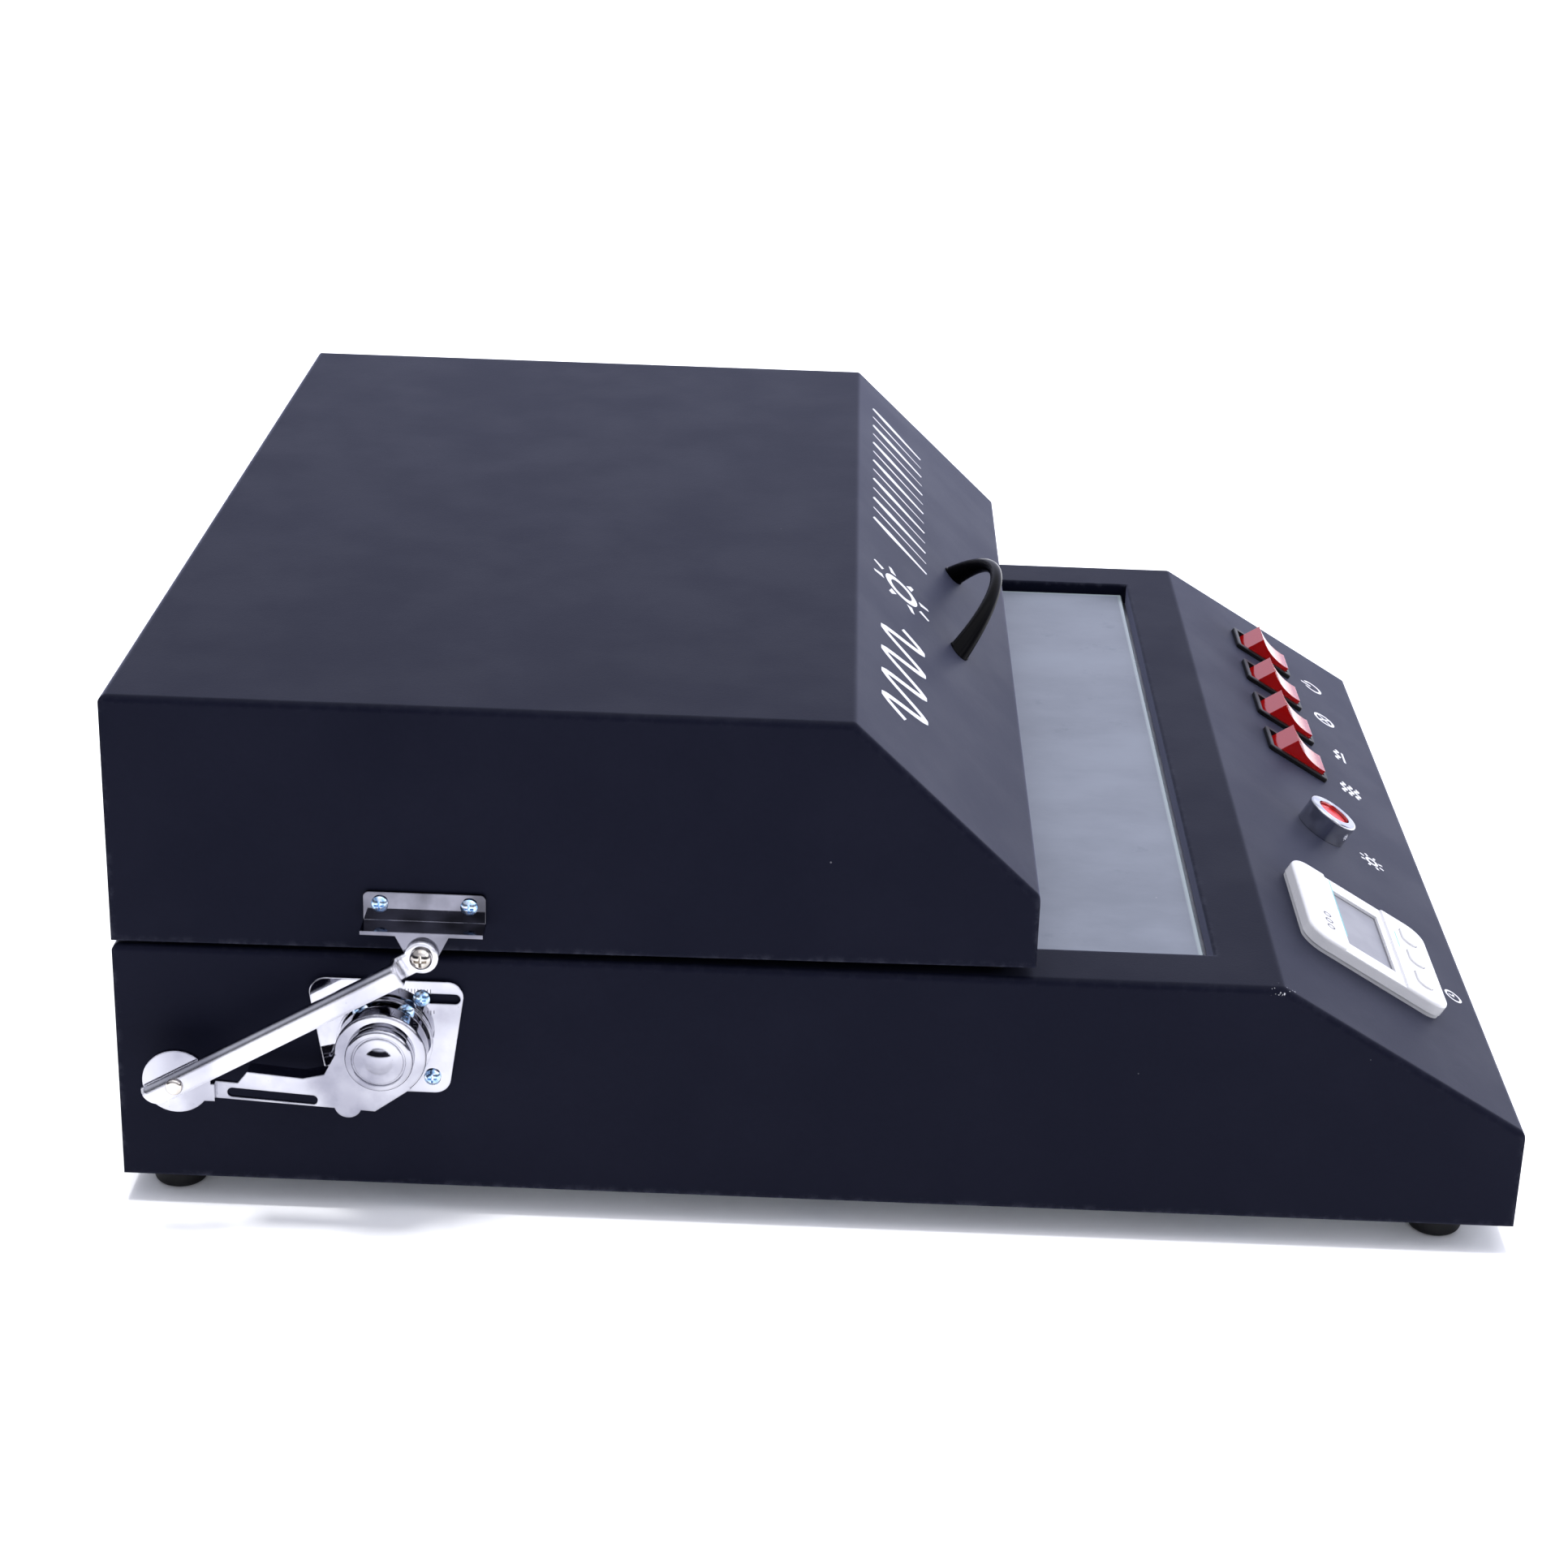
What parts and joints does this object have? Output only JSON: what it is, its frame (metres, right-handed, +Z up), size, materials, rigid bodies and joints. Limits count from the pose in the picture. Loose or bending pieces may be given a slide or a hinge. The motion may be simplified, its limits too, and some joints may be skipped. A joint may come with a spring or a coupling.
{
  "type": "uv curing box",
  "caption": "Desktop UV curing box: dark sheet-metal base with a frosted glass work plate, hinged lid on chromed stays, sloped panel with rocker switches, pilot light and timer.",
  "frame": {"origin": "under the middle of the box's bounding box, at the bottom of the feet", "axes": "+Z up, +X to the right of an operator at the control panel, -Y towards the operator (the control panel side)"},
  "size_m": [0.518, 0.521, 0.2014],
  "materials": {
    "housing_paint": "fine-textured satin powder coat",
    "bottom_steel": "galvanised sheet",
    "foot_rubber": "matt black rubber",
    "zinc_screw": "blue-passivated zinc",
    "frosted_glass": "frosted, milky",
    "inner_steel": "plain steel",
    "reflector_aluminium": "bright rolled aluminium",
    "lamp_tube": "phosphor-coated tube with metal caps",
    "holder_plastic": "moulded white plastic",
    "ballast_case": "painted steel case",
    "black_plastic": "moulded black plastic",
    "pin_brass": "plated brass",
    "rocker_red": "translucent red plastic",
    "indicator_red": "translucent red lens",
    "bezel_chrome": "polished chrome",
    "timer_white": "smooth white plastic",
    "timer_grey": "moulded grey plastic",
    "display_grey": "liquid crystal display, blank",
    "handle_black": "glossy black",
    "hinge_steel": "nickel-plated steel",
    "stay_chrome": "bright chrome plate",
    "pivot_nickel": "nickel plate"
  },
  "bodies": {
    "base": {"ballasts": "ballast_case", "base_housing": "housing_paint", "base_screws": "zinc_screw", "bottom_plate": "bottom_steel", "foot_front_left": "foot_rubber", "foot_front_right": "foot_rubber", "foot_rear_left": "foot_rubber", "foot_rear_right": "foot_rubber", "foot_screws": "zinc_screw", "glass_ledge": "inner_steel", "glass_plate": "frosted_glass", "hinge_base_leaves": "hinge_steel", "hinge_pins": "hinge_steel", "indicator_bezel": "bezel_chrome", "indicator_lens": "indicator_red", "indicator_nut": "bezel_chrome", "inlet_pins": "pin_brass", "lamp_switch_body": "black_plastic", "lampholders": "holder_plastic", "main_uv_switch_body": "black_plastic", "main_uv_tube_1": "lamp_tube", "main_uv_tube_2": "lamp_tube", "main_uv_tube_3": "lamp_tube", "main_uv_tube_4": "lamp_tube", "power_inlet": "black_plastic", "power_switch_body": "black_plastic", "pre_uv_switch_body": "black_plastic", "pre_uv_tube": "lamp_tube", "reflector_tray": "reflector_aluminium", "stay_left_drum": "stay_chrome", "stay_left_plate": "stay_chrome", "stay_right_drum": "stay_chrome", "stay_right_plate": "stay_chrome", "timer_back": "timer_grey", "timer_case": "timer_white", "timer_display": "display_grey", "work_lamp_tube": "lamp_tube"},
    "lid": {"lid_shell": "housing_paint", "lid_reflector": "reflector_aluminium", "lid_bumpers": "foot_rubber", "lid_handle": "handle_black", "handle_screws": "zinc_screw", "hinge_lid_leaves": "hinge_steel", "lid_screws": "zinc_screw", "stay_left_bracket": "stay_chrome", "stay_right_bracket": "stay_chrome", "stay_pivot_screws": "pivot_nickel"},
    "stay_left_lower": {"stay_left_lower_arm": "stay_chrome"},
    "stay_left_upper": {"stay_left_upper_arm": "stay_chrome", "stay_left_rivet": "stay_chrome"},
    "stay_right_lower": {"stay_right_lower_arm": "stay_chrome"},
    "stay_right_upper": {"stay_right_upper_arm": "stay_chrome", "stay_right_rivet": "stay_chrome"},
    "power_rocker": {"power_rocker": "rocker_red"},
    "lamp_rocker": {"lamp_rocker": "rocker_red"},
    "pre_uv_rocker": {"pre_uv_rocker": "rocker_red"},
    "main_uv_rocker": {"main_uv_rocker": "rocker_red"},
    "timer_button_left": {"timer_button_left": "timer_white"},
    "timer_button_middle": {"timer_button_middle": "timer_white"},
    "timer_button_right": {"timer_button_right": "timer_white"}
  },
  "joints": [
    {"name": "lid_hinge", "type": "hinge", "parent": "base", "child": "lid", "pos_m": [0, 0.2575, 0.10655], "axis": [-1, 0, 0], "range_deg": [0, 75]},
    {"name": "stay_left_lower_swing", "type": "hinge", "parent": "base", "child": "stay_left_lower", "pos_m": [-0.2493, 0.1562, 0.0716], "axis": [1, 0, 0], "range_deg": [0, 49.34]},
    {"name": "stay_left_upper_swing", "type": "hinge", "parent": "lid", "child": "stay_left_upper", "pos_m": [-0.2497, 0.1408, 0.1116], "axis": [1, 0, 0], "range_deg": [0, 4.41]},
    {"name": "stay_right_lower_swing", "type": "hinge", "parent": "base", "child": "stay_right_lower", "pos_m": [0.2493, 0.1562, 0.0716], "axis": [1, 0, 0], "range_deg": [0, 49.34]},
    {"name": "stay_right_upper_swing", "type": "hinge", "parent": "lid", "child": "stay_right_upper", "pos_m": [0.2497, 0.1408, 0.1116], "axis": [1, 0, 0], "range_deg": [0, 4.41]},
    {"name": "power_rock", "type": "hinge", "parent": "base", "child": "power_rocker", "pos_m": [0.1865, -0.20743, 0.07622], "axis": [-1, 0, 0], "range_deg": [0, 34]},
    {"name": "lamp_rock", "type": "hinge", "parent": "base", "child": "lamp_rocker", "pos_m": [0.1425, -0.20743, 0.07622], "axis": [-1, 0, 0], "range_deg": [0, 34]},
    {"name": "pre_uv_rock", "type": "hinge", "parent": "base", "child": "pre_uv_rocker", "pos_m": [0.0985, -0.20743, 0.07622], "axis": [-1, 0, 0], "range_deg": [0, 34]},
    {"name": "main_uv_rock", "type": "hinge", "parent": "base", "child": "main_uv_rocker", "pos_m": [0.0545, -0.20743, 0.07622], "axis": [-1, 0, 0], "range_deg": [0, 34]},
    {"name": "timer_left_press", "type": "slide", "parent": "base", "child": "timer_button_left", "axis": [0, 0.5108, -0.8597], "range_m": [0, 0.0008], "stiffness_N_per_m": 1200, "springref_m": -0.0003},
    {"name": "timer_middle_press", "type": "slide", "parent": "base", "child": "timer_button_middle", "axis": [0, 0.5108, -0.8597], "range_m": [0, 0.0008], "stiffness_N_per_m": 1200, "springref_m": -0.0003},
    {"name": "timer_right_press", "type": "slide", "parent": "base", "child": "timer_button_right", "axis": [0, 0.5108, -0.8597], "range_m": [0, 0.0008], "stiffness_N_per_m": 1200, "springref_m": -0.0003}
  ],
  "couplings": [
    {"joint": "stay_left_lower_swing", "follows": "lid_hinge", "ratio": 0.65776},
    {"joint": "stay_left_upper_swing", "follows": "lid_hinge", "ratio": 0.05868},
    {"joint": "stay_right_lower_swing", "follows": "lid_hinge", "ratio": 0.65776},
    {"joint": "stay_right_upper_swing", "follows": "lid_hinge", "ratio": 0.05868}
  ]
}
